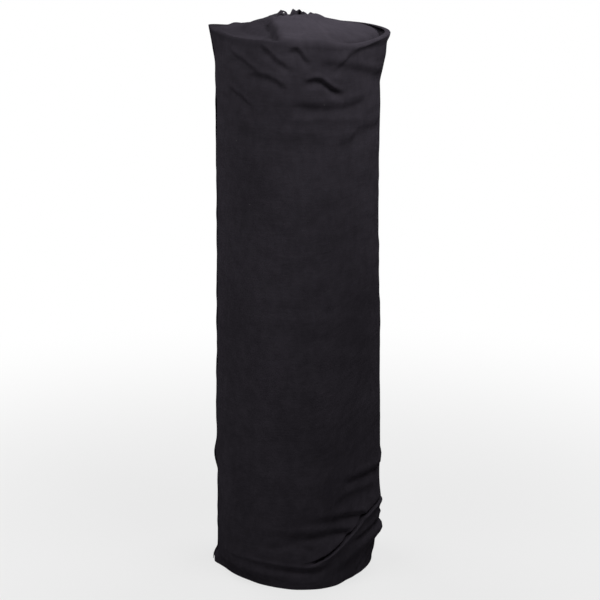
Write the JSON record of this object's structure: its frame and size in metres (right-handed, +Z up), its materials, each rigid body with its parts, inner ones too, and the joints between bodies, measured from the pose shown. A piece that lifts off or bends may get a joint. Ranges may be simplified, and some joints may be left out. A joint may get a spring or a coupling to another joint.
{
  "type": "weed control fabric roll",
  "caption": "Standing roll of weed control fabric on a cardboard core, its slack outer turn folded in over the top and its free end loose.",
  "frame": {"origin": "on the roll's axis, on the surface that the roll stands on", "axes": "+Z up along the roll's axis; -Y is the side that the picture shows, with the drawn-in foot and the folded rim; +X is to that side's right, where the rim stands out as a lip"},
  "size_m": [0.3299, 0.3169, 1.0598],
  "materials": {
    "cardboard": "matte kraft board",
    "tape": "satin",
    "packed_cloth": "matte",
    "slack_cloth": "matte",
    "outer_cloth": "matte with a faint sheen"
  },
  "bodies": {
    "winding": {"core_tube": "cardboard", "starter_tape": "tape", "packed_turns": "packed_cloth"},
    "wrap": {"loose_turns": "slack_cloth", "outer_wrap": "outer_cloth", "top_cover": "outer_cloth"},
    "free_end": {"tail": "outer_cloth"}
  },
  "joints": [
    {"name": "unwind", "type": "hinge", "parent": "winding", "child": "wrap", "pos_m": [0, 0, 0], "axis": [0, 0, 1], "continuous": true},
    {"name": "tail_peel", "type": "hinge", "parent": "wrap", "child": "free_end", "pos_m": [-0.11315, 0.10927, 0], "axis": [-0.0063, 0.0061, -1], "range_deg": [0, 90]}
  ]
}
